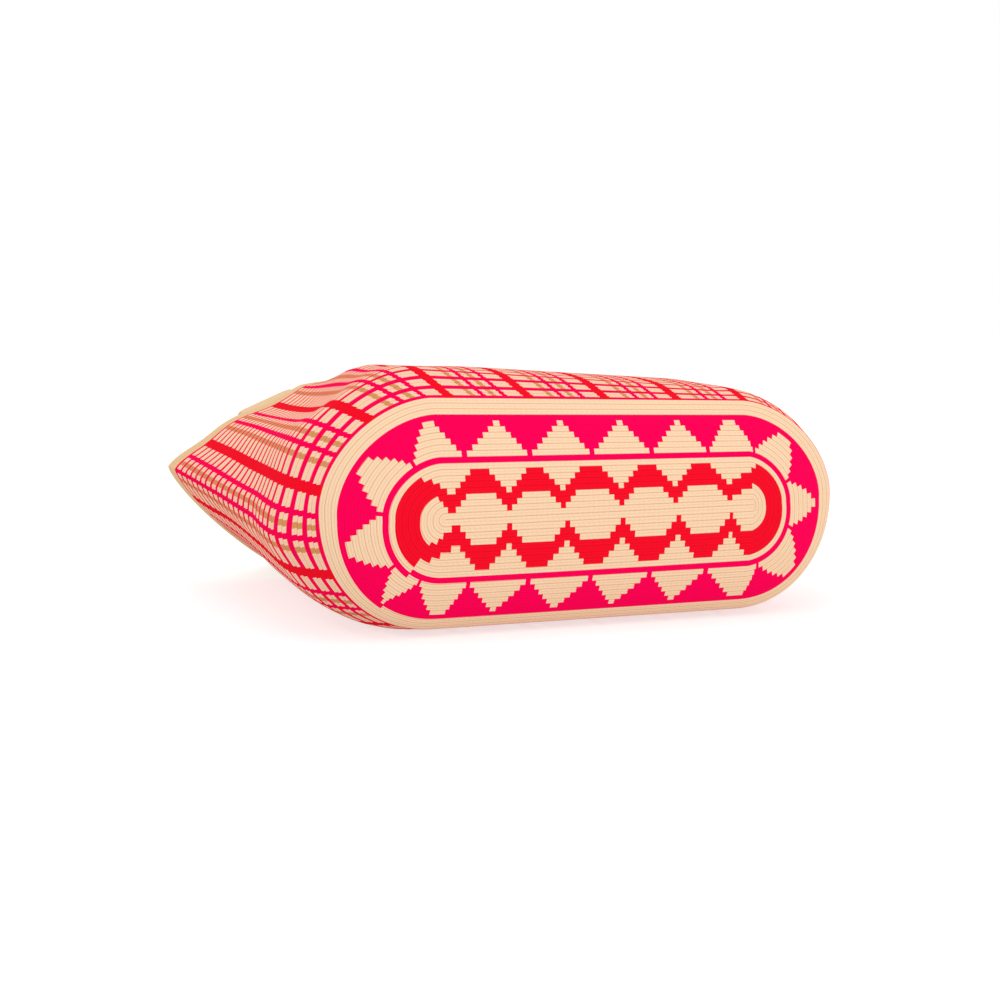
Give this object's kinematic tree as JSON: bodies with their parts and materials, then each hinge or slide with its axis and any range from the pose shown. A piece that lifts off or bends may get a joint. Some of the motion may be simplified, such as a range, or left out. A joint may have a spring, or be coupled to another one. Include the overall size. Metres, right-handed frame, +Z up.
{
  "type": "tote bag",
  "caption": "Crocheted tote bag lying on its broad side and filled out, with a domed oval base, an open mouth and flat straps sewn inside the rim.",
  "frame": {"origin": "on the resting face, under the middle of the wall's depth", "axes": "+Z up, +Y from the base towards the open mouth, +X along the base to its right end as seen from the base"},
  "size_m": [0.4151, 0.498, 0.1709],
  "materials": {
    "body_yarn": "matte crochet in cream, magenta, red and tan cotton",
    "strap_yarn": "matte cream crochet",
    "seam_yarn": "matte cream yarn"
  },
  "bodies": {
    "root": {"bag_body": "body_yarn", "upper_strap": "strap_yarn", "lower_strap": "strap_yarn", "upper_left_seam": "seam_yarn", "upper_right_seam": "seam_yarn", "lower_left_seam": "seam_yarn", "lower_right_seam": "seam_yarn"}
  },
  "joints": []
}
